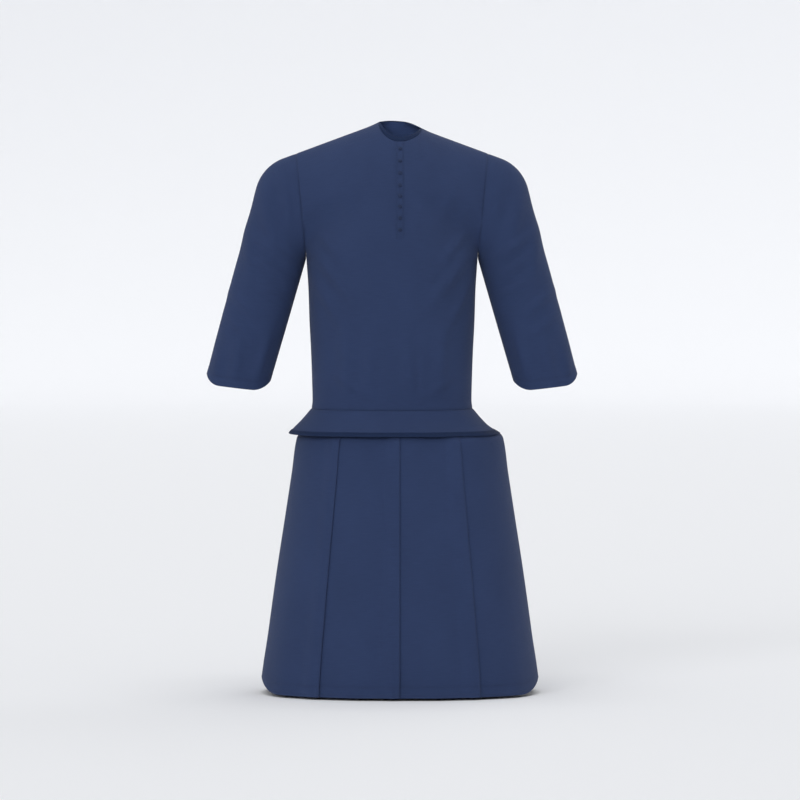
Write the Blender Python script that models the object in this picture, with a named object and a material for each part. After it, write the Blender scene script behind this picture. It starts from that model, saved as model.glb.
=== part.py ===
"""A baju kurung: a loose tunic with a short flared length below the waist, over an A-line skirt.

It stands upright and hollow, as it is worn. Units are metres, +Z is up, +X is the wearer's left and the
front faces -Y. The origin is at the height where the shoulder seams meet the neck, on the line of the buttons.
Every cloth piece starts as a flat sheet or a plain tube of (column, row) points with two layers, the right
side of the cloth and the wrong side, and is then laid on its form by a placing function.
"""

import math

import bmesh
import bpy
from mathutils import Vector

# ---- Cloth ----
WALL = 0.0015             # thickness of the garment's cloth
FLARE_WALL = 0.0021       # the same cloth, measured level across a steep flare
BAND_WALL = 0.0012        # thickness of a band laid on the cloth
SEAM_GAP = 0.0003         # every seam and every piece laid on another keeps this gap
FRONT, BACK = -1, 1       # the way a panel faces along Y
ROUNDNESS = 2.3           # power of the superellipse that the body's sections follow
NOTCH_ROUNDING = 0.016    # where a hem rises at the side, the top of its curve is rounded over this depth

# ---- Tunic body ----
TUNIC_X = -0.0184         # the tunic hangs this far to one side of the skirt and the buttons
SHOULDER_PEAK = 0.0152    # height where the two shoulder slopes would cross
SHOULDER_SLOPE = 0.37     # fall of the shoulder line for each metre across
SHOULDER_ROUNDING = 0.009
SHOULDER_HALF_WIDTH = 0.220
ARMPIT_HALF_WIDTH = 0.1967
ARMPIT_Z = -0.306
ARMHOLE_HALF_DEPTH = 0.065
CHEST_HALF_DEPTH = {FRONT: 0.1350, BACK: 0.1215}
SHOULDER_ARCH = 2.2       # power of the arch that the cloth makes over the shoulders
SHOULDER_BLEND = 0.55     # share of the armhole's height over which the chest's section softens
ARMPIT_HOLD = 5           # power that keeps the armhole's pull close to its edge at the armpit
WAIST_Z = -0.6510
SHOULDER_COLUMNS = 8      # columns of a panel from the neck to the armhole
ARMHOLE_ROWS = 12         # rows of a panel from the armpit to the shoulder seam

TORSO_COLUMNS = ("z", "half_width", "front_depth", "back_depth")
TORSO = (                 # from the waist seam up to the armpit
    (WAIST_Z, 0.1850, 0.1215, 0.1215),
    (-0.6325, 0.1829, 0.1203, 0.1198),
    (-0.5900, 0.1838, 0.1218, 0.1188),
    (-0.5300, 0.1858, 0.1252, 0.1186),
    (-0.4485, 0.1898, 0.1308, 0.1198),
    (-0.3795, 0.1920, 0.1342, 0.1210),
    (ARMPIT_Z, ARMPIT_HALF_WIDTH, CHEST_HALF_DEPTH[FRONT], CHEST_HALF_DEPTH[BACK]),
)

# ---- Neck ----
NECK_X = -TUNIC_X         # the neck is over the buttons, so it is off the tunic's own centre
NECK_HALF_WIDTH = 0.0495
NECK_FRONT_DROP = 0.1489  # share of the height above the armpits that the neck is cut down, in front
NECK_BACK_DROP = 0.0747   # and at the back
NECK_ANGLES = (-90, -62, -36, -10.5, 0, 10.5, 36, 62, 90)
NAPE_RISE = 0.034         # the back of the neck would stand up this much at the height of the seam
NAPE_HALF_WIDTH = 0.14
NAPE_DEPTH = 0.055
NAPE_FADE = 5             # power that keeps this rise close to the neck
BAND_WIDTH = 0.011        # width of the dark band round the front of the neck
BAND_PROUD = 0.0005

# ---- Sleeve, as seen from the front, measured from the tunic's centre ----
CORNER_START = (0.2460, -0.0759)
CORNER_END = (0.3105, -0.1403)
CORNER_TURN = math.radians(54.3)
CUFF_OUTER = (0.4324, -0.5941)
CUFF_INNER = (0.2852, -0.6118)
SLEEVE_HALF_DEPTH_AT_CUFF = 0.055
FAN_RINGS = 9             # rings that turn about the armpit
FAN_INNER_STEP = 0.0028
FAN_OUTER_LENGTH = 0.273
STRAIGHT_RINGS = 6
CUFF_CORNER = 0.040       # the cuff rises in a round corner at each side
CUFF_CORNER_SHARE = 0.25  # share of that rise in the ring above the cuff

# ---- Peplum, the flared length under the waist seam ----
PEPLUM_COLUMNS = ("z", "centre_x", "half_width", "half_depth")
PEPLUM = (
    (-0.7084, -0.0127, 0.2427, 0.1720),
    (-0.7000, -0.0160, 0.2320, 0.1635),
    (-0.6885, -0.0184, 0.2185, 0.1520),
    (-0.6740, -0.0184, 0.2045, 0.1380),
    (WAIST_Z - SEAM_GAP, TUNIC_X, 0.1850, 0.1215),
)
HEM_BAND_ROWS = 1         # the dark hem band covers the lowest row of the peplum
PEPLUM_HALF_COLUMNS = 12

# ---- Skirt ----
SKIRT_HEM_Z = -1.3007
SKIRT_CORNER = 0.0414     # the hem rises in a round corner at each side
SKIRT_CORNER_SHARES = (1.0, 0.35, 0.0)  # share of that rise in the lowest rows
SKIRT_COLUMNS = ("z", "half_width", "half_depth")
SKIRT = (
    (SKIRT_HEM_Z, 0.3190, 0.2120),
    (-1.2500, 0.3148, 0.2095),
    (-1.1600, 0.3027, 0.2030),
    (-1.0300, 0.2846, 0.1930),
    (-0.9000, 0.2645, 0.1820),
    (-0.8000, 0.2492, 0.1730),
    (-0.7153, 0.2364, 0.1650),
    (-0.7084, 0.2276, 0.1560),
    (-0.6969, 0.2010, 0.1400),
    (-0.6785, 0.1820, 0.1260),
    (-0.6600, 0.1600, 0.1130),
    (-0.6423, 0.1450, 0.1075),
)
WAISTBAND_HEIGHT = 0.030
WAISTBAND_SEGMENTS = 28

# ---- Skirt pleats: a knife pleat is three layers of cloth, pressed flat ----
PLEAT_CENTRES = (-0.573, 0.0, 0.573)    # share of the half width
LAYER_GAP = 0.0004
PLEAT_RAMP = 0.050        # the outer layer rises over this length before the fold
PLEAT_LAP = 0.016         # cloth that is folded under
MIDDLE_LAYER = LAYER_GAP + WALL
OUTER_LAYER = MIDDLE_LAYER + LAYER_GAP + WALL
PLEAT_COLUMNS = ("along_right", "proud_right", "along_wrong", "proud_wrong")
PLEAT = (                 # right and wrong side of the cloth, along the section and out from it
    (-PLEAT_RAMP, 0.0, -PLEAT_RAMP, -WALL),
    (-PLEAT_LAP - WALL, OUTER_LAYER, -PLEAT_LAP - WALL, OUTER_LAYER - WALL),
    (0.0, OUTER_LAYER, -WALL, OUTER_LAYER - WALL),
    (0.0, LAYER_GAP, -WALL, MIDDLE_LAYER),
    (-PLEAT_LAP + WALL, LAYER_GAP, -PLEAT_LAP, MIDDLE_LAYER),
    (-PLEAT_LAP + WALL, 0.0, -PLEAT_LAP, -WALL),
)
PLAIN_COLUMNS = (         # plain columns before, between and after the pleats: start, end, count
    (-1.0, -0.80, 7),
    (-0.50, -0.24, 3),
    (0.07, 0.33, 3),
    (0.64, 1.0, 8),
)

# ---- Placket and buttons ----
PLACKET_COLUMNS = 2       # the placket lies on the two middle columns of the front
PLACKET_FIRST_ROW = 3     # rows above the armpit where it starts
PLACKET_WALL = 0.0010
BUTTON_RADIUS = 0.0042
BUTTON_HEIGHT = 0.0034
BUTTON_Z = (-0.0564, -0.0840, -0.1116, -0.1392, -0.1632, -0.1876, -0.2132, -0.2400)
BUTTON_SEGMENTS = 12
BUTTON_RINGS = 3

CLOTH = (0.0296, 0.0467, 0.1095)
BAND = (0.0168, 0.0296, 0.0742)


# ---- Cloth sheets and tubes ----
def clear_scene():
    for old in list(bpy.data.objects):
        bpy.data.objects.remove(old)


def finish(name, bm, colour, smooth=True):
    """Turn a finished mesh into a named object with its own material."""
    bmesh.ops.recalc_face_normals(bm, faces=bm.faces[:])
    if bm.calc_volume(signed=True) < 0:
        bmesh.ops.reverse_faces(bm, faces=bm.faces[:])
    mesh = bpy.data.meshes.new(name)
    bm.to_mesh(mesh)
    bm.free()
    if smooth:
        mesh.shade_smooth()
        mesh.set_sharp_from_angle(angle=math.radians(40))
    material = bpy.data.materials.new(name)
    material.use_nodes = True
    shader = material.node_tree.nodes["Principled BSDF"]
    shader.inputs["Base Color"].default_value = (*colour, 1.0)
    shader.inputs["Roughness"].default_value = 0.85
    shader.inputs["Metallic"].default_value = 0.0
    mesh.materials.append(material)
    piece = bpy.data.objects.new(name, mesh)
    bpy.context.scene.collection.objects.link(piece)
    return piece


def cloth_sheet(name, columns, rows, place, colour=CLOTH):
    """Sew a flat two-layer sheet onto the form that place(column, row, wrong_side) gives."""
    bm = bmesh.new()
    bmesh.ops.create_grid(bm, x_segments=columns, y_segments=rows, size=0.5)
    made = bmesh.ops.extrude_face_region(bm, geom=bm.faces[:])
    wrong = {vert for vert in made["geom"] if isinstance(vert, bmesh.types.BMVert)}
    for vert in bm.verts:
        column = round((vert.co.x + 0.5) * columns)
        row = round((vert.co.y + 0.5) * rows)
        vert.co = place(column, row, vert in wrong)
    return finish(name, bm, colour)


def cloth_tube(name, segments, rings, place, colour=CLOTH):
    """Spin the outline of a tube's wall, then lay it on place(angle, ring, wrong_side)."""
    bm = bmesh.new()
    right = [bm.verts.new((2, 0, ring)) for ring in range(rings + 1)]
    wrong = [bm.verts.new((1, 0, ring)) for ring in reversed(range(rings + 1))]
    outline = right + wrong
    edges = [bm.edges.new((a, b)) for a, b in zip(outline, outline[1:] + outline[:1])]
    bmesh.ops.spin(bm, geom=outline + edges, cent=(0, 0, 0), axis=(0, 0, 1),
                   angle=2 * math.pi, steps=segments, use_merge=True)
    for vert in bm.verts:
        angle = math.atan2(vert.co.y, vert.co.x)
        vert.co = place(angle, round(vert.co.z), math.hypot(vert.co.x, vert.co.y) < 1.5)
    return finish(name, bm, colour)


def superellipse(share):
    """Depth of a section at this share of its half width, as a share of its half depth."""
    return max(0.0, 1 - abs(share) ** ROUNDNESS) ** (1 / ROUNDNESS)


def corner_rise(distance, half_width, half_depth, radius):
    """How far a hem has risen at this distance from the middle, in a round corner at each side."""
    blunt = half_width * NOTCH_ROUNDING ** 2 / (2 * half_depth ** 2)
    into = max(0.0, abs(distance) - (half_width - radius) - blunt)
    return radius - math.sqrt(max(0.0, radius ** 2 - into ** 2))


def eased(start, end, count):
    """Shares from start to end, closer together near a side seam at -1 or 1."""
    steps = [i / (count - 1) for i in range(count)]
    if start == -1.0:
        return [end + (start - end) * math.sin((1 - t) * math.pi / 2) for t in steps]
    if end == 1.0:
        return [start + (end - start) * math.sin(t * math.pi / 2) for t in steps]
    return [start + (end - start) * t for t in steps]


# ---- Tunic body ----
def shoulder_height(x):
    return SHOULDER_PEAK - SHOULDER_SLOPE * math.hypot(x, SHOULDER_ROUNDING)


def smooth_step(t):
    t = min(1.0, max(0.0, t))
    return t * t * (3 - 2 * t)


def chest_point(x, x_at_shoulder, rise, inset, facing):
    """Point above the armpits. rise runs from 0 at the armpit to 1 on the shoulder seam."""
    half = ARMPIT_HALF_WIDTH + (SHOULDER_HALF_WIDTH - ARMPIT_HALF_WIDTH) * rise
    share = min(1.0, abs(x) / half)
    edge = (ARMHOLE_HALF_DEPTH - inset) * 2 * math.sqrt(rise * (1 - rise))
    arch = max(0.0, 1 - rise ** SHOULDER_ARCH) ** (1 / SHOULDER_ARCH)
    middle = (CHEST_HALF_DEPTH[facing] - inset) * arch
    height = smooth_step(rise / SHOULDER_BLEND)
    fall = (1 - share ** ROUNDNESS) ** (1 / ROUNDNESS + (1 - 1 / ROUNDNESS) * height)
    depth = middle * fall + edge * (1 - fall) ** (ARMPIT_HOLD - (ARMPIT_HOLD - 1) * height)
    top = shoulder_height(x_at_shoulder) - inset
    z = ARMPIT_Z + (top - ARMPIT_Z) * rise
    if facing == BACK:
        near_neck = max(0.0, 1 - (x / NAPE_HALF_WIDTH) ** 2) ** 2
        z += NAPE_RISE * near_neck * rise ** NAPE_FADE * min(1.0, depth / NAPE_DEPTH)
    inward = x * (1 - inset / half)
    return Vector((TUNIC_X + inward, facing * (SEAM_GAP / 2 + depth), z))


def across(column, half):
    """Distance of a column from the tunic's centre where the panel is this wide."""
    neck_end = SHOULDER_COLUMNS + len(NECK_ANGLES) - 1
    if column < SHOULDER_COLUMNS:
        neck = NECK_X - NECK_HALF_WIDTH
        return neck + (-half - neck) * math.sin((1 - column / SHOULDER_COLUMNS) * math.pi / 2)
    if column > neck_end:
        neck = NECK_X + NECK_HALF_WIDTH
        return neck + (half - neck) * math.sin((column - neck_end) / SHOULDER_COLUMNS * math.pi / 2)
    return NECK_X + NECK_HALF_WIDTH * math.sin(math.radians(NECK_ANGLES[column - SHOULDER_COLUMNS]))


def neck_cut(column, drop):
    """How far up a column reaches: 1 on the shoulder seam, less where the neck is cut out."""
    index = column - SHOULDER_COLUMNS
    if not 0 < index < len(NECK_ANGLES) - 1:
        return 1.0
    return 1 - drop * math.cos(math.radians(NECK_ANGLES[index]))


def body_point(column, row, inset, facing):
    """Point of the tunic's front or back: rows follow the torso's sections, then the armhole."""
    if row < len(TORSO) - 1:
        z, half_width, front_depth, back_depth = TORSO[row]
        x = across(column, half_width)
        half_depth = front_depth if facing == FRONT else back_depth
        depth = (half_depth - inset) * superellipse(x / half_width)
        inward = x * (1 - inset / half_width)
        return Vector((TUNIC_X + inward, facing * (SEAM_GAP / 2 + depth), z))
    drop = NECK_FRONT_DROP if facing == FRONT else NECK_BACK_DROP
    step = (row - len(TORSO) + 1) / ARMHOLE_ROWS
    rise = (1 - math.cos(math.pi * step)) / 2 * neck_cut(column, drop)
    half = ARMPIT_HALF_WIDTH + (SHOULDER_HALF_WIDTH - ARMPIT_HALF_WIDTH) * rise
    return chest_point(across(column, half), across(column, SHOULDER_HALF_WIDTH), rise, inset, facing)


def make_body():
    columns = 2 * SHOULDER_COLUMNS + len(NECK_ANGLES) - 1
    rows = len(TORSO) - 1 + ARMHOLE_ROWS
    for name, facing in (("tunic_front", FRONT), ("tunic_back", BACK)):
        cloth_sheet(name, columns, rows,
                    lambda column, row, wrong: body_point(column, row, WALL * wrong, facing))


def make_neck_band():
    """A flat band that fills the front of the neck from the panel's cut edge to the opening."""
    def place(column, row, wrong):
        angle = math.radians(NECK_ANGLES[column])
        width = NECK_HALF_WIDTH - (BAND_WIDTH if row else SEAM_GAP)
        height = ARMPIT_Z * -1 + shoulder_height(NECK_X)
        drop = NECK_FRONT_DROP - (BAND_WIDTH if row else SEAM_GAP) / height
        x = NECK_X + width * math.sin(angle)
        rise = 1 - drop * max(0.0, math.cos(angle))
        return chest_point(x, x, rise, WALL if wrong else -BAND_PROUD, FRONT)
    cloth_sheet("neck_band", len(NECK_ANGLES) - 1, 1, place, BAND)


# ---- Placket and buttons ----
def placket_point(column, row, lift):
    """Point of the front panel under the placket, moved out along the panel's own normal."""
    first = SHOULDER_COLUMNS + (len(NECK_ANGLES) - 1) // 2 - PLACKET_COLUMNS // 2
    base_row = len(TORSO) - 1 + PLACKET_FIRST_ROW + row
    here = body_point(first + column, base_row, 0.0, FRONT)
    low = body_point(first + column, base_row - 1, 0.0, FRONT)
    high = body_point(first + column, min(base_row + 1, len(TORSO) - 1 + ARMHOLE_ROWS), 0.0, FRONT)
    left = body_point(first + column - 1, base_row, 0.0, FRONT)
    right = body_point(first + column + 1, base_row, 0.0, FRONT)
    normal = (right - left).cross(high - low).normalized()
    return here + normal * lift, normal


def make_placket():
    rows = ARMHOLE_ROWS - PLACKET_FIRST_ROW

    def place(column, row, wrong):
        point, _ = placket_point(column, row, SEAM_GAP + (0.0 if wrong else PLACKET_WALL))
        if row == rows:
            below, _ = placket_point(column, row - 1, SEAM_GAP + (0.0 if wrong else PLACKET_WALL))
            point += (below - point).normalized() * BAND_PROUD
        return point
    cloth_sheet("placket", PLACKET_COLUMNS, rows, place)
    return rows


def button_seat(z, rows):
    """Where a button sits on the placket's middle line, and the way it faces."""
    def line(column):
        return [placket_point(column, row, SEAM_GAP + PLACKET_WALL)[0] for row in range(rows + 1)]
    left, middle, right = line(0), line(PLACKET_COLUMNS // 2), line(PLACKET_COLUMNS)
    for row in range(rows):
        low, high = middle[row], middle[row + 1]
        if low.z <= z <= high.z:
            share = (z - low.z) / (high.z - low.z)
            level = right[row].lerp(right[row + 1], share) - left[row].lerp(left[row + 1], share)
            return low.lerp(high, share), level.cross(high - low).normalized()
    raise ValueError(f"no placket at {z}")


def make_button(name, seat, out):
    """A small covered button: a flat back and a domed face, spun about its own axis."""
    bm = bmesh.new()
    edge = BUTTON_HEIGHT * 0.35
    outline = [(0.0, 0.0), (BUTTON_RADIUS, 0.0), (BUTTON_RADIUS, edge)]
    for ring in range(1, BUTTON_RINGS + 1):
        angle = ring / BUTTON_RINGS * math.pi / 2
        outline.append((BUTTON_RADIUS * math.cos(angle), edge + (BUTTON_HEIGHT - edge) * math.sin(angle)))
    verts = [bm.verts.new((radius, 0.0, z)) for radius, z in outline]
    edges = [bm.edges.new(pair) for pair in zip(verts, verts[1:])]
    bmesh.ops.spin(bm, geom=verts + edges, cent=(0, 0, 0), axis=(0, 0, 1),
                   angle=2 * math.pi, steps=BUTTON_SEGMENTS, use_merge=True)
    bmesh.ops.remove_doubles(bm, verts=bm.verts[:], dist=0.00001)
    bmesh.ops.rotate(bm, verts=bm.verts[:], matrix=Vector((0, 0, 1)).rotation_difference(out).to_matrix())
    bmesh.ops.translate(bm, verts=bm.verts[:], vec=seat + out * SEAM_GAP)
    finish(name, bm, BAND)


def make_buttons(rows):
    for index, z in enumerate(BUTTON_Z, start=1):
        seat, out = button_seat(z, rows)
        make_button(f"button_{index}", seat, out)


# ---- Sleeves ----
def along(start, end, distance):
    start, end = Vector(start), Vector(end)
    return start + (end - start).normalized() * distance


def sleeve_outer(distance):
    """Point of the sleeve's outer edge, this far from the shoulder point: slope, round corner, straight."""
    shoulder = (SHOULDER_HALF_WIDTH, shoulder_height(SHOULDER_HALF_WIDTH))
    slope_length = math.dist(shoulder, CORNER_START)
    radius = math.dist(CORNER_START, CORNER_END) / (2 * math.sin(CORNER_TURN / 2))
    corner_length = radius * CORNER_TURN
    if distance <= slope_length:
        return along(shoulder, CORNER_START, distance)
    if distance <= slope_length + corner_length:
        chord = Vector(CORNER_END) - Vector(CORNER_START)
        turned = (distance - slope_length) / radius
        heading = math.atan2(chord.y, chord.x) + CORNER_TURN / 2 - turned / 2
        length = 2 * radius * math.sin(turned / 2)
        return Vector(CORNER_START) + Vector((math.cos(heading), math.sin(heading))) * length
    return along(CORNER_END, CUFF_OUTER, distance - slope_length - corner_length)


def sleeve_ring(ring):
    """Inner and outer point of a ring, seen from the front, and how far down the sleeve it is."""
    armpit = (ARMPIT_HALF_WIDTH, ARMPIT_Z)
    fan_inner = FAN_INNER_STEP * FAN_RINGS
    if ring <= FAN_RINGS:
        inner = along(armpit, CUFF_INNER, FAN_INNER_STEP * ring)
        return inner, sleeve_outer(FAN_OUTER_LENGTH * ring / FAN_RINGS), 0.0
    share = (ring - FAN_RINGS) / STRAIGHT_RINGS
    inner = along(armpit, CUFF_INNER, fan_inner).lerp(Vector(CUFF_INNER), share)
    return inner, sleeve_outer(FAN_OUTER_LENGTH).lerp(Vector(CUFF_OUTER), share), share


def sleeve_point(angle, ring, inset, side):
    inner, outer, share = sleeve_ring(ring)
    middle = (inner + outer) / 2
    half = (outer - inner) / 2
    reach = half * (1 - inset / half.length)
    depth = ARMHOLE_HALF_DEPTH + (SLEEVE_HALF_DEPTH_AT_CUFF - ARMHOLE_HALF_DEPTH) * share - inset
    flat = middle - reach * math.cos(angle)
    rings = FAN_RINGS + STRAIGHT_RINGS
    if ring >= rings - 1:
        width = half.length
        rise = corner_rise(width * math.cos(angle), width, SLEEVE_HALF_DEPTH_AT_CUFF, CUFF_CORNER)
        up = (Vector(CORNER_END) - Vector(CUFF_OUTER)).normalized()
        flat += up * rise * (1.0 if ring == rings else CUFF_CORNER_SHARE)
    return Vector((TUNIC_X + side * (SEAM_GAP + flat.x), depth * math.sin(angle), flat.y))


def make_sleeves():
    for name, side in (("sleeve_left", 1), ("sleeve_right", -1)):
        cloth_tube(name, 2 * ARMHOLE_ROWS, FAN_RINGS + STRAIGHT_RINGS,
                   lambda angle, ring, wrong: sleeve_point(angle, ring, WALL * wrong, side))


# ---- Peplum and hem band ----
def peplum_point(column, row, inset, facing):
    z, centre_x, half_width, half_depth = PEPLUM[row]
    share = math.sin((column / PEPLUM_HALF_COLUMNS - 1) * math.pi / 2)
    depth = (half_depth - inset) * superellipse(share)
    return Vector((centre_x + (half_width - inset) * share, facing * (SEAM_GAP / 2 + depth), z))


def make_peplum():
    columns = 2 * PEPLUM_HALF_COLUMNS
    lift = 2 * SEAM_GAP
    for word, facing in (("front", FRONT), ("back", BACK)):
        cloth_sheet(f"peplum_{word}", columns, len(PEPLUM) - 1,
                    lambda column, row, wrong: peplum_point(column, row, FLARE_WALL * wrong, facing))
        cloth_sheet(f"hem_band_{word}", columns, HEM_BAND_ROWS,
                    lambda column, row, wrong: peplum_point(
                        column, row, -lift - (0.0 if wrong else BAND_WALL), facing), BAND)


# ---- Skirt ----
def skirt_columns():
    """Every column of a skirt panel: share of the half width and height off it, on both sides."""
    columns = []
    hem_half = SKIRT[0][1]
    for index, (start, end, count) in enumerate(PLAIN_COLUMNS):
        columns += [(share, 0.0, share, -WALL) for share in eased(start, end, count)]
        if index < len(PLEAT_CENTRES):
            centre = PLEAT_CENTRES[index]
            for right, proud_right, wrong, proud_wrong in PLEAT:
                columns.append((centre + right / hem_half, proud_right, centre + wrong / hem_half, proud_wrong))
    return columns


def skirt_point(share, proud, row, facing):
    z, half_width, half_depth = SKIRT[row]
    depth = superellipse(share)
    x, y = half_width * share, half_depth * depth
    normal = Vector((math.copysign(abs(share) ** (ROUNDNESS - 1), share) / half_width,
                     depth ** (ROUNDNESS - 1) / half_depth)).normalized()
    if row < len(SKIRT_CORNER_SHARES):
        z += corner_rise(x, half_width, half_depth, SKIRT_CORNER) * SKIRT_CORNER_SHARES[row]
    x += normal.x * proud
    y += normal.y * proud
    return Vector((x, facing * (SEAM_GAP / 2 + y), z))


def make_skirt():
    columns = skirt_columns()

    def placer(facing):
        def place(column, row, wrong):
            right_share, proud_right, wrong_share, proud_wrong = columns[column]
            if wrong:
                return skirt_point(wrong_share, proud_wrong, row, facing)
            return skirt_point(right_share, proud_right, row, facing)
        return place
    for name, facing in (("skirt_front", FRONT), ("skirt_back", BACK)):
        cloth_sheet(name, len(columns) - 1, len(SKIRT) - 1, placer(facing))


def make_waistband():
    low, half_width, half_depth = SKIRT[-1]

    def place(angle, ring, wrong):
        inset = WALL * wrong
        z = low + SEAM_GAP + WAISTBAND_HEIGHT * ring
        return Vector(((half_width - inset) * math.cos(angle), (half_depth - inset) * math.sin(angle), z))
    cloth_tube("skirt_waistband", WAISTBAND_SEGMENTS, 1, place)


def main():
    clear_scene()
    make_body()
    make_neck_band()
    make_buttons(make_placket())
    make_sleeves()
    make_peplum()
    make_skirt()
    make_waistband()


main()
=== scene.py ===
# %% [markdown]
# # A baju kurung, dressed
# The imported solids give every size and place: a loose tunic with a short flared length below the waist,
# and an A-line skirt under it. They are plain walls. This notebook lays fine cloth on the same forms,
# with seams, soft creases, pressed pleats, stitches and a woven surface, and changes no size.

# %% Load the frame
import math

import bmesh
import bpy
from mathutils import Matrix, Vector


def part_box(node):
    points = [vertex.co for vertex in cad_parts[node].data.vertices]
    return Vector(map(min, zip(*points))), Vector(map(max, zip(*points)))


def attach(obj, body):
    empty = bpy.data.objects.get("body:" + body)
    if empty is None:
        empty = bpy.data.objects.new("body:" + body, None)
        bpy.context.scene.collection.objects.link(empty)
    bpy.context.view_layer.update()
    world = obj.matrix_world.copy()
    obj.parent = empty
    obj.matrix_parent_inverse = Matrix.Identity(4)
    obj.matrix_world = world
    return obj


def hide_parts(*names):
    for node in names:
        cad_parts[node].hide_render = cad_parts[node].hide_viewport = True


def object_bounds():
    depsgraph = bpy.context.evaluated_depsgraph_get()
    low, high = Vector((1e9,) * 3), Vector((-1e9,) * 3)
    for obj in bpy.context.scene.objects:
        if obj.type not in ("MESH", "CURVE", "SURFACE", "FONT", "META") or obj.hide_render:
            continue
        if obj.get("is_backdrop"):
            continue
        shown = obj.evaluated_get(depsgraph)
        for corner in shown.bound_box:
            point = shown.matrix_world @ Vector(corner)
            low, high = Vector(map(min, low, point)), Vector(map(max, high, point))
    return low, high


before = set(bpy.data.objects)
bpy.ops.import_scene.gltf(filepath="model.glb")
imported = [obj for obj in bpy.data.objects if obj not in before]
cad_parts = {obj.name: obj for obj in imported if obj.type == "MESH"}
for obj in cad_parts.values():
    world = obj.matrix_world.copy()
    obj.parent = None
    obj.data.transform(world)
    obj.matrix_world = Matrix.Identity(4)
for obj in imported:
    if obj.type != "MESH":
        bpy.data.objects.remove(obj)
cad_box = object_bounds()
print("solids span", [round(high - low, 3) for low, high in zip(*cad_box)])

# %% [markdown]
# ## Helpers
# Four short functions do what the pieces share: a place in the scene, an outline spun about an axis, a
# mesh made into an object, and a piece's body and solid in the shared frame.


# %% Make objects
def add_object(name, data):
    made = bpy.data.objects.new(name, data)
    bpy.context.scene.collection.objects.link(made)
    return made


def spin_outline(bm, outline, segments):
    """Spin an outline of (radius, height) points about the Z axis."""
    points = [bm.verts.new((radius, 0, height)) for radius, height in outline]
    edges = [bm.edges.new(pair) for pair in zip(points, points[1:])]
    bmesh.ops.spin(bm, geom=points + edges, cent=(0, 0, 0), axis=(0, 0, 1), angle=2 * math.pi,
                   steps=segments, use_merge=True)


def add_mesh(name, bm, material, smooth=True):
    """An object with this mesh and material. A smooth one keeps the edges that are marked sharp."""
    mesh = bpy.data.meshes.new(name)
    bm.to_mesh(mesh)
    if smooth:
        mesh.shade_smooth()
    mesh.materials.append(material)
    return add_object(name, mesh)


def dress(piece, node=None):
    """Put a piece on the garment's one body, and in the place of a solid if it has one."""
    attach(piece, "root")
    if node:
        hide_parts(node)


# %% [markdown]
# ## Stage, light and camera
# The garment is seen straight from the front and almost level, through a long lens, so that its outline
# keeps true proportions. The floor is a pale disc that curves up into a low wall, so there is no
# horizon line. Three broad suns light it: one from the front keeps the cloth even, one from behind
# keeps the back from going flat, and one from above gives the soft shadow on the ground. A pale world
# fills the rest, and the plain view transform shows the cloth's colour as it is.

# %% Camera
METRES_PER_PIXEL = 0.0023
FRAME_PIXELS = 800
LENS_MM = 250
SENSOR_MM = 36
CAMERA_ELEVATION = math.radians(2.5)
ORIGIN_PIXEL = (400, 125)      # where the garment's origin falls in the frame

field_width = METRES_PER_PIXEL * FRAME_PIXELS
distance = field_width * LENS_MM / SENSOR_MM
aim = Vector(((FRAME_PIXELS / 2 - ORIGIN_PIXEL[0]) * METRES_PER_PIXEL, 0,
              (ORIGIN_PIXEL[1] - FRAME_PIXELS / 2) * METRES_PER_PIXEL))
camera_data = bpy.data.cameras.new("camera")
camera_data.lens = LENS_MM
camera_data.sensor_width = SENSOR_MM
camera_data.clip_end = 100
camera = add_object("camera", camera_data)
toward = Vector((0, -math.cos(CAMERA_ELEVATION), math.sin(CAMERA_ELEVATION)))
camera.location = aim + toward * distance
camera.rotation_euler = toward.to_track_quat("Z", "Y").to_euler()
bpy.context.scene.camera = camera
print(f"camera {distance:.2f} m away")

# %% Floor
FLOOR_DROP = 0.006             # the hem hangs this far above the ground
FLOOR_RADIUS = 15.0            # further than the camera, which can then go all the way round
SWEEP_RADIUS = 2.5
SWEEP_STEPS = 12
WALL_HEIGHT = 2.5
FLOOR_SEGMENTS = 96
FLOOR_COLOUR = (0.890, 0.898, 0.918, 1)
floor_z = cad_box[0][2] - FLOOR_DROP


def make_floor():
    """A round floor that curves up into a low wall: one outline, spun about the garment."""
    outline = [(0, floor_z)]
    for step in range(SWEEP_STEPS + 1):
        turn = step / SWEEP_STEPS * math.pi / 2
        outline.append((FLOOR_RADIUS + SWEEP_RADIUS * math.sin(turn),
                        floor_z + SWEEP_RADIUS * (1 - math.cos(turn))))
    outline.append((FLOOR_RADIUS + SWEEP_RADIUS, floor_z + SWEEP_RADIUS + WALL_HEIGHT))
    bm = bmesh.new()
    spin_outline(bm, outline, FLOOR_SEGMENTS)
    bmesh.ops.remove_doubles(bm, verts=bm.verts[:], dist=1e-4)
    paint = bpy.data.materials.new("floor")
    paint.use_nodes = True
    surface = paint.node_tree.nodes["Principled BSDF"]
    surface.inputs["Base Color"].default_value = FLOOR_COLOUR
    surface.inputs["Roughness"].default_value = 1.0
    surface.inputs["Specular IOR Level"].default_value = 0.0
    add_mesh("floor", bm, paint)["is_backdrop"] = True
    bm.free()


make_floor()
print(f"floor at z {floor_z:.3f}")

# %% Lights
WORLD_STRENGTH = 0.41
WORLD_COLOUR = (0.97, 0.98, 1.0, 1)
SUN_DISTANCE = 6
# name, strength, softness in degrees, the way it comes from
SUNS = (
    ("front_sun", 0.95, 35, Vector((-0.42, -1.0, 0.45))),
    ("back_sun", 0.50, 60, Vector((0.75, 1.0, 0.60))),
    ("top_sun", 1.09, 45, Vector((0.0, -0.05, 1.0))),
)


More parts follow.
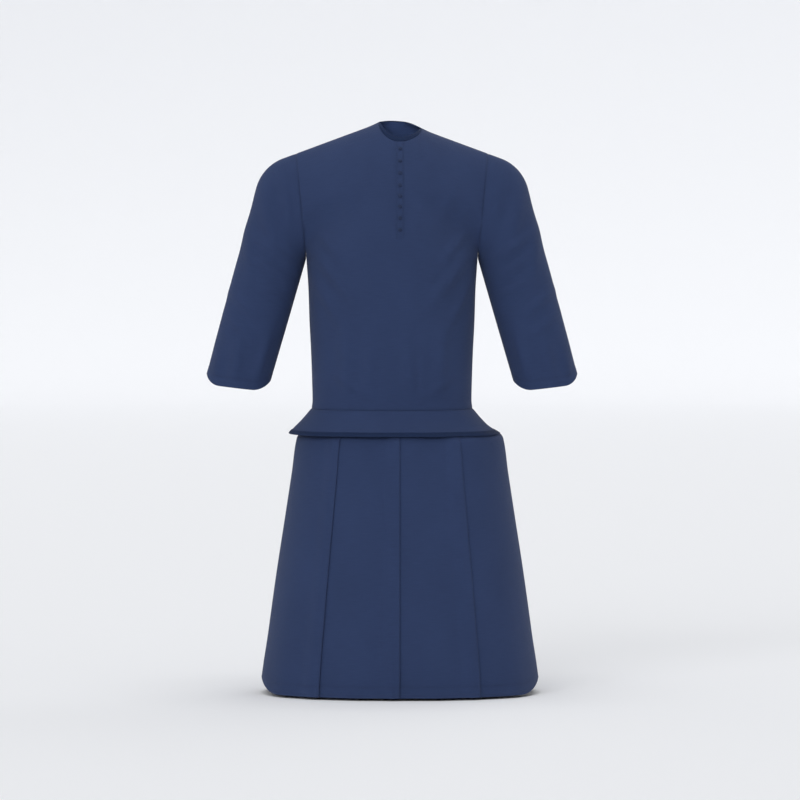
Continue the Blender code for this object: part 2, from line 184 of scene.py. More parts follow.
def make_sun(name, strength, softness_degrees, comes_from):
    data = bpy.data.lights.new(name, "SUN")
    data.energy = strength
    data.angle = math.radians(softness_degrees)
    sun = add_object(name, data)
    sun.location = aim + comes_from * SUN_DISTANCE
    sun.rotation_euler = comes_from.to_track_quat("Z", "Y").to_euler()


for settings in SUNS:
    make_sun(*settings)
world = bpy.data.worlds.new("studio")
world.use_nodes = True
background = world.node_tree.nodes["Background"]
background.inputs["Color"].default_value = WORLD_COLOUR
background.inputs["Strength"].default_value = WORLD_STRENGTH
bpy.context.scene.world = world
bpy.context.scene.view_settings.view_transform = "Standard"
print("lights:", [item.name for item in bpy.data.lights])

# %% [markdown]
# ## Shader maths
# A material is easier to read as a formula than as a tangle of nodes. `Wire` wraps one socket, and its
# operators add the Math nodes. `Shader.node` makes any other node: its settings first, then its
# sockets.


# %% Wire and Shader
class Wire:
    """A number that varies over the surface, as an output socket that can be used in expressions."""

    def __init__(self, shader, socket):
        self.shader, self.socket = shader, socket

    def math(self, operation, *values):
        sockets = dict(enumerate(values))
        return self.shader.node("ShaderNodeMath", {"operation": operation}, sockets)

    def __add__(self, other):
        return self.math("ADD", self, other)

    def __mul__(self, other):
        return self.math("MULTIPLY", self, other)

    def __sub__(self, other):
        return self.math("SUBTRACT", self, other)

    __radd__ = __add__

    def sine(self):
        return self.math("SINE", self)


class Shader:
    """A material with a Principled shader, and one method that adds any other node."""

    def __init__(self, name):
        self.material = bpy.data.materials.new(name)
        self.material.use_nodes = True
        self.tree = self.material.node_tree
        self.surface = self.tree.nodes["Principled BSDF"]

    def node(self, kind, settings, sockets, output=0):
        made = self.tree.nodes.new(kind)
        for key, value in settings.items():
            setattr(made, key, value)
        for key, value in sockets.items():
            self.plug(made.inputs[key], value)
        return Wire(self, made.outputs[output])

    def plug(self, socket, value):
        if isinstance(value, Wire):
            self.tree.links.new(value.socket, socket)
        else:
            socket.default_value = value

    def set(self, **sockets):
        for key, value in sockets.items():
            self.plug(self.surface.inputs[key.replace("_", " ")], value)


# %% [markdown]
# ## The cloth's finish
# It is a matte plain weave. The threads cross in the piece's own UV map, which is in metres along the
# cloth, so the weave bends with the sleeve and stays the same size everywhere. Slubs are noise that is
# stretched along one thread direction. An attribute marks seams, hems and fold edges, where the cloth is a
# little smoother, as pressed, and painted a little darker, as painted shade in the grooves and along the
# folds.

# %% Woven cloth
THREAD_PITCH = 0.0009
SLUB_LENGTH = 0.030
SLUB_WIDTH = 0.0018
BLOTCHES_PER_METRE = (9, 6, 1)
THREAD_BUMP = 0.00022
# The fourth tone is painted shade: how much darker the marked seams, hems and fold lines are painted.
SLUB_TONE, BLOTCH_TONE, THREAD_TONE, PAINTED_SHADE_TONE = 0.9, 0.5, 0.16, 0.30
DARKEST, LIGHTEST = 0.80, 1.20
BASE_ROUGHNESS, SLUB_ROUGHNESS, PRESS_SMOOTHNESS = 0.86, 0.10, 0.08


def noise(shader, uv, scale, detail, roughness):
    """Noise in cloth metres, with a scale for each way of the cloth."""
    space = shader.node("ShaderNodeMapping", {}, {"Vector": uv, "Scale": scale})
    return shader.node("ShaderNodeTexNoise", {}, {
        "Vector": space, "Scale": 1.0, "Detail": detail, "Roughness": roughness})


def woven(name, colour, sheen=0.05):
    """A matte plain-weave cloth of this colour (linear RGB)."""
    shader = Shader(name)
    uv = shader.node("ShaderNodeUVMap", {"uv_map": "cloth"}, {})
    across = shader.node("ShaderNodeSeparateXYZ", {}, {0: uv}, "X")
    along = shader.node("ShaderNodeSeparateXYZ", {}, {0: uv}, "Y")
    turns = 2 * math.pi / THREAD_PITCH
    threads = (across * turns).sine() * (along * turns).sine()
    slubs = noise(shader, uv, (1 / SLUB_LENGTH, 1 / SLUB_WIDTH, 1), 3.0, 0.6)
    blotches = noise(shader, uv, BLOTCHES_PER_METRE, 2.0, 0.5)
    press_and_shade = shader.node("ShaderNodeAttribute", {"attribute_name": "press_and_shade"}, {}, "Fac")
    # Seams, hems and pleat folds are painted darker here: painted shade in their grooves and folds.
    tone = (0.5 + (slubs - 0.5) * SLUB_TONE + (blotches - 0.5) * BLOTCH_TONE + threads * THREAD_TONE
            - press_and_shade * PAINTED_SHADE_TONE)
    dark, light = (tuple(shade * part for part in colour) + (1,) for shade in (DARKEST, LIGHTEST))
    colour_mix = shader.node("ShaderNodeMix", {"data_type": "RGBA"}, {0: tone, 6: dark, 7: light}, 2)
    height = threads * 0.5 + slubs * 0.6
    bump = shader.node("ShaderNodeBump", {}, {"Height": height, "Strength": 0.7, "Distance": THREAD_BUMP})
    rough = BASE_ROUGHNESS + (slubs - 0.5) * SLUB_ROUGHNESS - press_and_shade * PRESS_SMOOTHNESS
    shader.set(Base_Color=colour_mix, Roughness=rough, Normal=bump,
               Sheen_Weight=sheen, Sheen_Roughness=0.5, Specular_IOR_Level=0.16)
    return shader.material


NAVY = (0.0286, 0.0484, 0.1215)
DARK_NAVY = (0.0108, 0.0236, 0.0690)
BUTTON_NAVY = (0.0210, 0.0350, 0.0850)
cloth = woven("navy_cloth", NAVY)
# The facing is painted three times paler than the navy: painted light for the shaded inside of the neck.
facing_painted_paler = woven("facing_painted_paler_cloth", tuple(3.0 * part for part in NAVY))
band_cloth = woven("dark_band_cloth", DARK_NAVY, sheen=0.02)
button_cloth = woven("button_cloth", BUTTON_NAVY)
thread = woven("navy_thread", tuple(0.85 * part for part in NAVY))
print("materials:", [material.name for material in (cloth, facing_painted_paler, band_cloth, button_cloth, thread)])

# %% [markdown]
# ## Cloth as a sheet
# A real panel starts flat on the cutting table, and so does this one: `bmesh.ops.create_grid` makes a
# flat grid, and a sleeve starts as a line that is spun into a plain tube. A form then gives every point
# its place, and the distances between the placed points give the UV map, in metres. Working on a grid
# keeps rows and columns of threads in order, which a remeshed surface would lose.


# %% A sheet of cloth
class Sheet:
    """A grid of cloth points, in rows from the bottom up, laid on a form.

    A flat panel faces along Y, to the FRONT or the BACK. A sheet that faces neither way is a closed tube,
    and faces away from its middle line.
    """

    def __init__(self, columns, rows, place, facing=None, centre_x=0.0):
        self.columns, self.rows = columns, rows
        self.closed = closed = facing is None
        self.bm = bmesh.new()
        self.press_and_shade = self.bm.verts.layers.float.new("press_and_shade")
        self.uv = self.bm.loops.layers.uv.new("cloth")
        if closed:
            spin_outline(self.bm, [(1, row) for row in range(rows + 1)], columns)
        else:
            bmesh.ops.create_grid(self.bm, x_segments=columns, y_segments=rows, size=0.5)
        self.grid = [[None] * (columns + (not closed)) for _ in range(rows + 1)]
        for vert in self.bm.verts:
            column, row = self.slot_of(vert)
            self.grid[row][column] = vert
        for row, line in enumerate(self.grid):
            for column, vert in enumerate(line):
                vert.co = place(column, row)
        self.index = {vert: (column, row) for row, line in enumerate(self.grid)
                      for column, vert in enumerate(line)}
        self.face_out(lambda point: Vector((point.x - centre_x, point.y, 0) if closed else (0, facing, 0)))

    def slot_of(self, vert):
        """Column and row of a point, read from the flat pattern before it is laid."""
        if self.closed:
            turn = math.atan2(vert.co.y, vert.co.x) / (2 * math.pi)
            return round(turn * self.columns) % self.columns, round(vert.co.z)
        return round((vert.co.x + 0.5) * self.columns), round((vert.co.y + 0.5) * self.rows)

    def face_out(self, outward):
        """Turn the faces so that, taken together, they face outward, which is a function of a point."""
        self.bm.normal_update()
        agreement = sum(face.normal.dot(outward(face.calc_center_median())) * face.calc_area()
                        for face in self.bm.faces)
        if agreement < 0:
            bmesh.ops.reverse_faces(self.bm, faces=self.bm.faces[:])
        self.bm.normal_update()

    def measure(self):
        """Distance across and up for every point, in metres, along the cloth."""
        self.across = []
        for line in self.grid:
            run = [0.0]
            for a, b in zip(line, line[1:]):
                run.append(run[-1] + (b.co - a.co).length)
            middle = run[len(run) // 2]
            self.across.append([value - middle for value in run])
        self.up = [[0.0] * len(self.grid[0])]
        for low, high in zip(self.grid, self.grid[1:]):
            steps = [(b.co - a.co).length for a, b in zip(low, high)]
            self.up.append([value + step for value, step in zip(self.up[-1], steps)])

    def edge_distance(self, column, row, edge):
        """Distance along the cloth from a point to the left, right, bottom or top edge."""
        across, up = self.across[row], self.up
        return {"left": across[column] - across[0], "right": across[-1] - across[column],
                "bottom": up[row][column], "top": up[-1][column] - up[row][column]}[edge]

    def push(self, lift):
        """Move each point along its normal by lift(point, to), where to(edges) is how far off they are."""
        self.measure()
        self.bm.normal_update()
        moves = []
        for vert, spot in self.index.items():
            moves.append((vert, vert.normal * lift(
                vert, lambda edges: min(self.edge_distance(*spot, edge) for edge in edges))))
        for vert, move in moves:
            vert.co += move

    def groove(self, edges, distance, depth, width, mark):
        """Pull the cloth in along a line this far from these edges, and mark it there to be painted darker,
        as painted shade in the groove, and smoother.
        """
        def lift(vert, to):
            pull = math.exp(-((to(edges) - distance) / width) ** 2)
            vert[self.press_and_shade] = max(vert[self.press_and_shade], mark * pull)
            return -depth * pull
        self.push(lift)

    def roll_edges(self, edges):
        """Pull sewn edges in, so that two panels meet in a fine groove."""
        # The groove is also painted darker: painted shade where the two panels meet.
        self.groove(edges, 0.0, depth=0.0007, width=0.0020, mark=1.0)

    def stitched_groove(self, edge, distance, depth=0.0004, width=0.0022):
        """A line of stitching pulls the cloth in a little, this far from an edge, and is painted darker
        there as painted shade in its groove.
        """
        self.groove((edge,), distance, depth, width, mark=0.6)

    def crease(self, creases, calm=0.045):
        """Raise ridges and sink troughs: each runs between two places and fades at both ends."""
        edges = ("bottom", "top") if self.closed else ("left", "right", "bottom", "top")
        self.push(lambda vert, to: sum(crease_height(vert.co, line) for line in creases)
                  * (1 - math.exp(-(to(edges) / calm) ** 2)))

    def line_at(self, edge, distance):
        """Points and normals along a line this far from an edge, for stitches."""
        self.measure()
        self.bm.normal_update()
        rows, columns = range(len(self.grid)), range(len(self.grid[0]))
        if edge in ("bottom", "top"):
            walks = [[(column, row) for row in rows] for column in columns]
        else:
            walks = [[(column, row) for column in columns] for row in rows]
        found = []
        for walk in walks:
            if edge in ("top", "right"):
                walk.reverse()
            for here, there in zip(walk, walk[1:]):
                near, far = (self.edge_distance(*spot, edge) for spot in (here, there))
                if near <= distance <= far and far > near:
                    share = (distance - near) / (far - near)
                    a, b = self.grid[here[1]][here[0]], self.grid[there[1]][there[0]]
                    found.append((a.co.lerp(b.co, share), a.normal.lerp(b.normal, share).normalized()))
                    break
        if self.closed and edge in ("bottom", "top"):
            found.append(found[0])
        return found

    def write_uv(self):
        """Map every face corner to metres along the cloth, the tube's last column included."""
        self.measure()
        width = self.columns
        for face in self.bm.faces:
            columns = [self.index[loop.vert][0] for loop in face.loops]
            wraps = self.closed and max(columns) - min(columns) > 1
            for loop in face.loops:
                column, row = self.index[loop.vert]
                along = self.across[row][column]
                if wraps and column == 0:
                    step = (self.grid[row][0].co - self.grid[row][width - 1].co).length
                    along = self.across[row][width - 1] + step
                loop[self.uv].uv = (along, self.up[row][len(self.grid[0]) // 2])

    def area(self):
        return sum(face.calc_area() for face in self.bm.faces)

    def finish(self, name, material, thickness, hem=None):
        """Make the piece, with its thickness inwards. A hem, an edge and a depth, is twice as thick."""
        print(name, len(self.bm.faces), "faces,", f"{self.area():.3f} m2")
        self.write_uv()
        for edge in self.bm.edges:
            edge.smooth = not edge.is_boundary
        self.bm.verts.index_update()
        weights = {}
        if hem:
            edge, height = hem
            weights = {vert.index: 1.0 if self.edge_distance(*spot, edge) < height else 0.5
                       for vert, spot in self.index.items()}
        piece = add_mesh(name, self.bm, material)
        wall = piece.modifiers.new("wall", "SOLIDIFY")
        wall.offset = -1
        wall.thickness = thickness * (2 if hem else 1)
        if hem:
            group = piece.vertex_groups.new(name="hem")
            for index, weight in weights.items():
                group.add([index], weight, "REPLACE")
            wall.vertex_group = "hem"
        return piece


TROUGH = 1.2                   # how fast a ridge falls away into the troughs beside it


def crease_height(point, line):
    """Height of one crease at a point, seen from the front: a ridge between two shallow troughs."""
    start_x, start_z, end_x, end_z, width, height = line
    run_x, run_z = end_x - start_x, end_z - start_z
    length = math.hypot(run_x, run_z)
    share = ((point.x - start_x) * run_x + (point.z - start_z) * run_z) / length ** 2
    if not 0 < share < 1:
        return 0.0
    aside = (((point.x - start_x) * run_z - (point.z - start_z) * run_x) / (length * width)) ** 2
    return height * math.sin(math.pi * share) ** 2 * (1 - TROUGH * aside) * math.exp(-aside)


# %% [markdown]
# ## Sewing thread
# A run of stitches is one small tapered bead, copied along a line on the finished cloth. The beads
# are joined into one mesh for each seam, because hundreds of separate objects would be slow to handle.

# %% Stitches
STITCH_PITCH = 0.0034
STITCH_LENGTH = 0.0024
STITCH_RADIUS = 0.00022
STITCH_SIDES = 6
STITCH_TAPER = 0.8             # radius of its second end, as a share
STITCH_SINK = 0.6              # height of its middle above the cloth, in radii


def stitches(name, lines):
    """Small beads of thread along each line of points and normals."""
    bm = bmesh.new()
    for line in lines:
        left_over = STITCH_PITCH / 2
        for (a, normal_a), (b, normal_b) in zip(line, line[1:]):
            length = (b - a).length
            while left_over <= length and length > 0:
                share = left_over / length
                out = normal_a.lerp(normal_b, share).normalized()
                way = (b - a).normalized()
                side = out.cross(way).normalized()
                turn = Matrix((side, out, way)).transposed().to_4x4()
                seat = Matrix.Translation(a.lerp(b, share) + out * STITCH_RADIUS * STITCH_SINK)
                bmesh.ops.create_cone(bm, cap_ends=True, segments=STITCH_SIDES, radius1=STITCH_RADIUS,
                                      radius2=STITCH_RADIUS * STITCH_TAPER, depth=STITCH_LENGTH,
                                      matrix=seat @ turn)
                left_over += STITCH_PITCH
            left_over -= length
    print(name, len(bm.faces), "faces")
    piece = add_mesh(name, bm, thread, smooth=False)
    bm.free()
    piece.data.uv_layers.new(name="cloth")
    dress(piece)


# %% [markdown]
# ## The forms
# The cloth lies on a few simple forms, the same as the solids': level sections of the body are
# superellipses, the shoulders arch from front to back, and a sleeve is a row of ovals that first fan
# round the armpit. Tables hold the sections, and a smooth curve through them fills in the heights
# between.


# %% Sections
FRONT, BACK = -1, 1
ROUNDNESS = 2.3


def smooth_value(heights, values, z):
    """A smooth curve through a table's values that never overshoots them."""
    index = max(0, min(len(heights) - 2, sum(z >= height for height in heights) - 1))
    slopes = [(b - a) / (h - g) for a, b, g, h in zip(values, values[1:], heights, heights[1:])]

    def slope(at):
        if at in (0, len(slopes)):
            return slopes[min(at, len(slopes) - 1)]
        low, high = slopes[at - 1], slopes[at]
        return 2 * low * high / (low + high) if low * high > 0 else 0.0

    step = heights[index + 1] - heights[index]
    t = min(1.0, max(0.0, (z - heights[index]) / step))
    low, high = values[index], values[index + 1]
    return (low * (1 + 2 * t) * (1 - t) ** 2 + high * t * t * (3 - 2 * t)
            + step * t * (1 - t) * (slope(index) * (1 - t) - slope(index + 1) * t))


def section(table, z):
    """The values of a table's columns at this height, the height itself left out."""
    heights = [row[0] for row in table]
    return [smooth_value(heights, [row[column] for row in table], z) for column in range(1, len(table[0]))]


def superellipse(share):
    return max(0.0, 1 - abs(share) ** ROUNDNESS) ** (1 / ROUNDNESS)


def rounded(share):
    """Height across a strip that is rounded: 0 at both edges and 1 in the middle."""
    return math.sin(math.pi * share) ** 0.5


def smooth_step(t):
    t = min(1.0, max(0.0, t))
    return t * t * (3 - 2 * t)


def corner_rise(way, half_width, half_depth, radius, blunt_depth=0.016):
    """How far a hem has risen at this distance from the middle, in a round corner at each side."""
    blunt = half_width * blunt_depth ** 2 / (2 * half_depth ** 2)
    into = max(0.0, abs(way) - (half_width - radius) - blunt)
    return radius - math.sqrt(max(0.0, radius ** 2 - into ** 2))


# %% Tunic form
tunic_x = (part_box("tunic_front")[0][0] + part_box("tunic_front")[1][0]) / 2
WAIST_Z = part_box("tunic_front")[0][2]
SHOULDER_PEAK = 0.0152
SHOULDER_SLOPE = 0.37
SHOULDER_ROUNDING = 0.009
SHOULDER_HALF_WIDTH = 0.220
ARMPIT_HALF_WIDTH = 0.1967
ARMPIT_Z = -0.306
ARMHOLE_HALF_DEPTH = 0.065
SHOULDER_ARCH = 2.2
SHOULDER_BLEND = 0.55
ARMPIT_HOLD = 5
NECK_HALF_WIDTH = 0.0495
NECK_DROP = {FRONT: 0.1489, BACK: 0.0747}
NECK_HOLLOW = 1.25             # power that narrows the neck's curve towards the middle
NAPE_RISE = 0.0385
NAPE_HALF_WIDTH = 0.11
NAPE_DEPTH = 0.055
NAPE_FADE = 5
CHEST_HALF_DEPTH = {FRONT: 0.1350, BACK: 0.1215}
# z, half width, front depth, back depth
TORSO = (
    (WAIST_Z, 0.1850, 0.1215, 0.1215),
    (-0.6325, 0.1829, 0.1203, 0.1198),
    (-0.5900, 0.1838, 0.1218, 0.1188),
    (-0.5300, 0.1858, 0.1252, 0.1186),
    (-0.4485, 0.1898, 0.1308, 0.1198),
    (-0.3795, 0.1920, 0.1342, 0.1210),
    (ARMPIT_Z, ARMPIT_HALF_WIDTH, CHEST_HALF_DEPTH[FRONT], CHEST_HALF_DEPTH[BACK]),
)
print(f"tunic centre x {tunic_x:.4f}, waist z {WAIST_Z:.4f}")


def shoulder_height(x):
    return SHOULDER_PEAK - SHOULDER_SLOPE * math.hypot(x, SHOULDER_ROUNDING)


def climb(x):
    """Height from the armpit to the shoulder seam, straight above."""
    return shoulder_height(x) - ARMPIT_Z


def upper_half_width(rise):
    return ARMPIT_HALF_WIDTH + (SHOULDER_HALF_WIDTH - ARMPIT_HALF_WIDTH) * rise


def chest_point(x, x_at_shoulder, rise, proud, facing):
    """Point above the armpits. rise runs from 0 at the armpit to 1 on the shoulder seam."""
    share = min(1.0, abs(x) / upper_half_width(rise))
    edge = (ARMHOLE_HALF_DEPTH + proud) * 2 * math.sqrt(max(0.0, rise * (1 - rise)))
    arch = max(0.0, 1 - rise ** SHOULDER_ARCH) ** (1 / SHOULDER_ARCH)
    middle = (CHEST_HALF_DEPTH[facing] + proud) * arch
    height = smooth_step(rise / SHOULDER_BLEND)
    fall = (1 - share ** ROUNDNESS) ** (1 / ROUNDNESS + (1 - 1 / ROUNDNESS) * height)
    depth = middle * fall + edge * (1 - fall) ** (ARMPIT_HOLD - (ARMPIT_HOLD - 1) * height)
    z = ARMPIT_Z + (climb(x_at_shoulder) + proud) * rise
    if facing == BACK:
        near_neck = max(0.0, 1 - ((x + tunic_x) / NAPE_HALF_WIDTH) ** 2) ** 2
        z += NAPE_RISE * near_neck * rise ** NAPE_FADE * min(1.0, depth / NAPE_DEPTH) ** 1.5
    return Vector((tunic_x + x, facing * depth, z))


def neck_rise(angle, drop, inward):
    """Rise of the neck's edge, or of a line this far inside it. It is level over the buttons."""
    middle, x = -tunic_x, -tunic_x + (NECK_HALF_WIDTH - inward) * math.sin(angle)
    end = -tunic_x + math.copysign(NECK_HALF_WIDTH - inward, angle)
    fall = drop - inward / climb(middle)
    height = climb(middle) * (1 - fall * max(0.0, math.cos(angle)) ** NECK_HOLLOW)
    height += (climb(end) - climb(middle)) * abs(math.sin(angle)) ** 3
    return height / climb(x)


def across(station, half):
    """Distance from the tunic's centre: one shoulder up to station 1, the neck to 2, the other to 3."""
    if station < 1:
        neck = -tunic_x - NECK_HALF_WIDTH
        return neck + (-half - neck) * math.sin((1 - station) * math.pi / 2)
    if station > 2:
        neck = -tunic_x + NECK_HALF_WIDTH
        return neck + (half - neck) * math.sin((station - 2) * math.pi / 2)
    return -tunic_x + NECK_HALF_WIDTH * math.sin((station - 1.5) * math.pi)


def neck_cut(station, drop):
    """How far up the cloth reaches: 1 on the shoulder seam, less where the neck is cut out."""
    return neck_rise((station - 1.5) * math.pi, drop, 0.0) if 1 < station < 2 else 1.0


def torso_point(station, z, facing):
    half_width, front_depth, back_depth = section(TORSO, z)
    x = across(station, half_width)
    depth = (front_depth if facing == FRONT else back_depth) * superellipse(x / half_width)
    return Vector((tunic_x + x, facing * depth, z))


def upper_point(station, step, facing):
    """Point above the armpits. step runs round the armhole, from 0 at the armpit to 1 on the shoulder."""
    rise = (1 - math.cos(math.pi * step)) / 2
    rise *= 1 - (1 - neck_cut(station, NECK_DROP[facing])) * rise ** 3
    x, x_at_shoulder = (across(station, half) for half in (upper_half_width(rise), SHOULDER_HALF_WIDTH))
    return chest_point(x, x_at_shoulder, rise, 0.0, facing)


# %% [markdown]
# ## Tunic front and back
# Each is one panel from the waist seam to the shoulder. Its side edges follow the side seam and then
# the front or back half of the armhole. The edges are rolled in by under a millimetre where they are
# sewn. The creases are the soft drag lines of worn cloth: from the armpits to the bust, and up from the
# waist seam.

# %% Make the tunic body
SHOULDER_COLUMNS = 30
NECK_COLUMNS = 34
LOWER_ROWS = 58
UPPER_ROWS = 50
ROW_SPACING = 1.15             # a power above 1 puts the rows closer together at the waist
CLOTH_THICKNESS = 0.0012
# start x, start z, end x, end z, width, height
FRONT_CREASES = (
    (-0.212, -0.275, -0.075, -0.430, 0.018, 0.0062),
    (-0.210, -0.215, -0.105, -0.345, 0.014, 0.0046),
    (-0.215, -0.320, -0.110, -0.500, 0.015, 0.0040),
    (0.175, -0.275, 0.045, -0.440, 0.019, 0.0064),
    (0.175, -0.215, 0.078, -0.335, 0.014, 0.0044),
    (0.176, -0.330, 0.085, -0.510, 0.014, 0.0038),
    (-0.132, -0.395, -0.116, -0.690, 0.024, 0.0062),
    (-0.062, -0.450, -0.078, -0.690, 0.017, 0.0040),
    (0.012, -0.430, 0.030, -0.690, 0.022, 0.0048),
    (0.100, -0.400, 0.082, -0.690, 0.023, 0.0064),
    (0.058, -0.500, 0.050, -0.690, 0.013, 0.0034),
    (-0.185, -0.545, -0.035, -0.650, 0.016, 0.0038),
    (0.145, -0.560, 0.015, -0.652, 0.015, 0.0036),
    (-0.165, -0.090, -0.080, -0.275, 0.025, 0.0036),
    (0.142, -0.095, 0.070, -0.262, 0.024, 0.0036),
)
BACK_CREASES = (
    (-0.212, -0.260, -0.090, -0.415, 0.019, 0.0060),
    (-0.212, -0.205, -0.115, -0.330, 0.014, 0.0042),
    (0.175, -0.265, 0.058, -0.405, 0.018, 0.0060),
    (0.175, -0.210, 0.085, -0.320, 0.014, 0.0040),
    (-0.118, -0.110, -0.090, -0.430, 0.024, -0.0036),
    (0.087, -0.110, 0.060, -0.415, 0.022, -0.0034),
    (-0.022, -0.260, -0.010, -0.690, 0.028, 0.0050),
    (-0.112, -0.400, -0.096, -0.690, 0.020, 0.0056),
    (0.077, -0.390, 0.068, -0.690, 0.021, 0.0058),
    (-0.062, -0.480, -0.054, -0.690, 0.014, 0.0034),
    (0.030, -0.500, 0.036, -0.690, 0.014, 0.0034),
    (-0.185, -0.540, -0.020, -0.640, 0.017, 0.0040),
    (0.145, -0.545, 0.000, -0.645, 0.016, 0.0038),
)


# a station for each column: one shoulder, the neck and the other shoulder
STATIONS = [column / SHOULDER_COLUMNS for column in range(SHOULDER_COLUMNS)]
STATIONS += [1 + column / NECK_COLUMNS for column in range(NECK_COLUMNS)]
STATIONS += [2 + column / SHOULDER_COLUMNS for column in range(SHOULDER_COLUMNS + 1)]


def body_place(facing):
    """Where the panel's column and row lie, for the front or the back."""
    def place(column, row):
        if row < LOWER_ROWS:
            z = WAIST_Z + (ARMPIT_Z - WAIST_Z) * (row / LOWER_ROWS) ** ROW_SPACING
            return torso_point(STATIONS[column], z, facing)
        return upper_point(STATIONS[column], (row - LOWER_ROWS) / UPPER_ROWS, facing)
    return place


def make_tunic_panel(name, facing, creases):
    sheet = Sheet(len(STATIONS) - 1, LOWER_ROWS + UPPER_ROWS, body_place(facing), facing)
    sheet.crease(creases)
    sheet.roll_edges(("left", "right", "bottom"))
    piece = sheet.finish(f"{name}_cloth", cloth, CLOTH_THICKNESS)
    dress(piece, name)
    sheet.area()


make_tunic_panel("tunic_front", FRONT, FRONT_CREASES)
make_tunic_panel("tunic_back", BACK, BACK_CREASES)

# %% [markdown]
# ## Sleeves
# A sleeve is one piece of cloth sewn into a tube. Its first ring is the armhole itself. The next rings
# fan round the armpit until they lie across the arm, and the rest run straight down to the cuff. The
# underarm gets short folds, where cloth has no room, and the outer side gets long ones.

# %% Sleeve form
CORNER_START = (0.2460, -0.0759)
CORNER_END = (0.3105, -0.1403)
CORNER_TURN = math.radians(54.3)
CUFF_OUTER = (0.4324, -0.5941)
CUFF_INNER = (0.2852, -0.6118)
CUFF_HALF_DEPTH = 0.055
CUFF_CORNER = 0.040
CUFF_CORNER_REACH = 0.085      # the corner's rise fades over this much of the sleeve
CUFF_CORNER_FADE = 1.5
FAN_INNER_LENGTH = 0.0252
FAN_OUTER_LENGTH = 0.273
FAN_RINGS = 40
STRAIGHT_RINGS = 56
SLEEVE_SEGMENTS = 100


def along(start, end, way):
    start, end = Vector(start), Vector(end)
    return start + (end - start).normalized() * way


def sleeve_outer(way):
    """Point of the sleeve's outer edge, this far from the shoulder point: slope, round corner, straight."""
    shoulder = (SHOULDER_HALF_WIDTH, shoulder_height(SHOULDER_HALF_WIDTH))
    slope_length = math.dist(shoulder, CORNER_START)
    radius = math.dist(CORNER_START, CORNER_END) / (2 * math.sin(CORNER_TURN / 2))
    corner_length = radius * CORNER_TURN
    if way <= slope_length:
        return along(shoulder, CORNER_START, way)
    if way <= slope_length + corner_length:
        chord = Vector(CORNER_END) - Vector(CORNER_START)
        turned = (way - slope_length) / radius
        heading = math.atan2(chord.y, chord.x) + CORNER_TURN / 2 - turned / 2
        reach = 2 * radius * math.sin(turned / 2)
        return Vector(CORNER_START) + Vector((math.cos(heading), math.sin(heading))) * reach
    return along(CORNER_END, CUFF_OUTER, way - slope_length - corner_length)


def sleeve_place(side):
    """Where the tube's segment and row lie. Row 0 is the cuff, and ring 0 is the armhole."""
    armpit = (ARMPIT_HALF_WIDTH, ARMPIT_Z)
    fan_inner = along(armpit, CUFF_INNER, FAN_INNER_LENGTH)
    fan_outer = sleeve_outer(FAN_OUTER_LENGTH)
    sleeve_length = (Vector(CUFF_OUTER) - fan_outer).length

    def place(segment, row):
        ring = FAN_RINGS + STRAIGHT_RINGS - row
        angle = 2 * math.pi * segment / SLEEVE_SEGMENTS
        share = max(0, ring - FAN_RINGS) / STRAIGHT_RINGS
        if ring <= FAN_RINGS:
            inner = along(armpit, CUFF_INNER, FAN_INNER_LENGTH * ring / FAN_RINGS)
            outer = sleeve_outer(FAN_OUTER_LENGTH * ring / FAN_RINGS)
        else:
            inner = fan_inner.lerp(Vector(CUFF_INNER), share)
            outer = fan_outer.lerp(Vector(CUFF_OUTER), share)
        half = (outer - inner) / 2
        depth = ARMHOLE_HALF_DEPTH + (CUFF_HALF_DEPTH - ARMHOLE_HALF_DEPTH) * share
        flat = (inner + outer) / 2 - half * math.cos(angle)
        rise = corner_rise(half.length * math.cos(angle), half.length, CUFF_HALF_DEPTH, CUFF_CORNER)
        fade = max(0.0, 1 - (1 - share) * sleeve_length / CUFF_CORNER_REACH)
        flat += (Vector(CORNER_END) - Vector(CUFF_OUTER)).normalized() * rise * fade ** CUFF_CORNER_FADE
        return Vector((tunic_x + side * flat.x, depth * math.sin(angle), flat.y))
    return place


# %% Make the sleeves
CUFF_HEM = 0.022
SLEEVE_CENTRE_X = 0.30         # the sleeve's middle, from the tunic's centre
SLEEVE_CREASES = (             # for the left sleeve, measured from the tunic's centre
    (0.205, -0.325, 0.345, -0.235, 0.014, 0.0050),
    (0.215, -0.365, 0.345, -0.285, 0.013, 0.0044),
    (0.232, -0.400, 0.330, -0.345, 0.012, 0.0036),
    (0.305, -0.130, 0.258, -0.310, 0.022, 0.0050),
    (0.255, -0.095, 0.225, -0.255, 0.017, 0.0038),
    (0.335, -0.190, 0.318, -0.400, 0.018, 0.0034),
    (0.385, -0.365, 0.285, -0.450, 0.016, 0.0052),
    (0.390, -0.420, 0.300, -0.500, 0.013, 0.0042),
    (0.345, -0.450, 0.372, -0.640, 0.018, 0.0046),
    (0.268, -0.420, 0.325, -0.630, 0.017, 0.0042),
    (0.392, -0.480, 0.412, -0.630, 0.014, 0.0030),
)


def make_sleeve(name, side, stretch):
    sheet = Sheet(SLEEVE_SEGMENTS, FAN_RINGS + STRAIGHT_RINGS, sleeve_place(side),
                  centre_x=tunic_x + side * SLEEVE_CENTRE_X)
    creases = [(tunic_x + side * a, b * stretch, tunic_x + side * c, d * stretch, w, h)
               for a, b, c, d, w, h in SLEEVE_CREASES]
    sheet.crease(creases, calm=0.020)
    sheet.roll_edges(("top",))
    sheet.stitched_groove("bottom", CUFF_HEM)
    piece = sheet.finish(f"{name}_cloth", cloth, CLOTH_THICKNESS, hem=("bottom", CUFF_HEM))
    dress(piece, name)
    sheet.area()
    stitches(f"{name}_hem_stitches", [sheet.line_at("bottom", CUFF_HEM)])


